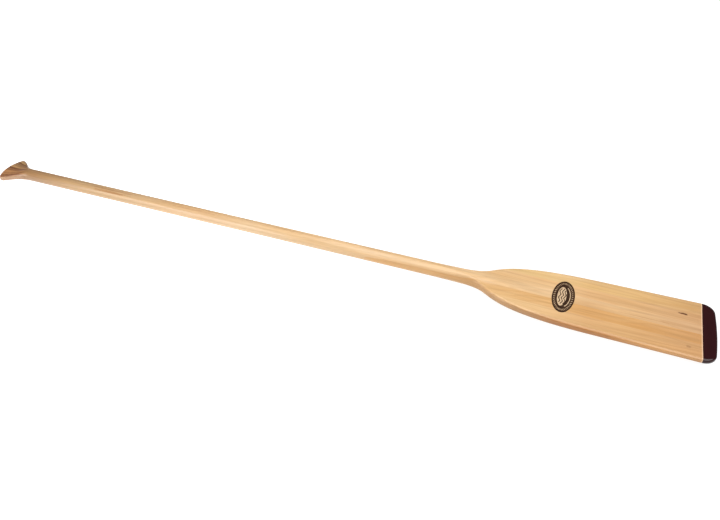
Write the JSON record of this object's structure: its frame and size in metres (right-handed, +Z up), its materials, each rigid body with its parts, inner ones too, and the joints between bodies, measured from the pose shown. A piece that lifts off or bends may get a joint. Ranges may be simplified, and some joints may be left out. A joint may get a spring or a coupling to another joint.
{
  "type": "single-blade paddle",
  "caption": "Wooden single-blade paddle: palm grip, round shaft flowing into a flared flat blade of glued staves, cast dark resin tip guard and a flat oval badge.",
  "frame": {"origin": "on the surface that the shaft rests on, under the middle of the paddle's length and width", "axes": "+X from the grip to the blade's tip along the shaft, +Y across the blade to the left, +Z up out of the blade's front face, which carries the badge"},
  "size_m": [1.676, 0.162, 0.0295],
  "materials": {
    "wood_spine": "pale straight-grained wood, clear gloss varnish",
    "wood_inner": "warm honey wood, clear gloss varnish",
    "wood_outer": "honey wood, clear gloss varnish",
    "wood_grip": "reddish wood showing end grain, satin varnish",
    "resin_tip": "dark maroon-brown cast resin, gloss",
    "badge_print": "thin printed film under varnish, brown ink on the tone of the wood"
  },
  "bodies": {
    "root": {"shaft_spine": "wood_spine", "stave_left_inner": "wood_inner", "stave_right_inner": "wood_inner", "stave_left_outer": "wood_outer", "stave_right_outer": "wood_outer", "grip_cheek_left": "wood_grip", "grip_cheek_right": "wood_grip", "tip_guard": "resin_tip", "badge": "badge_print"}
  },
  "joints": []
}
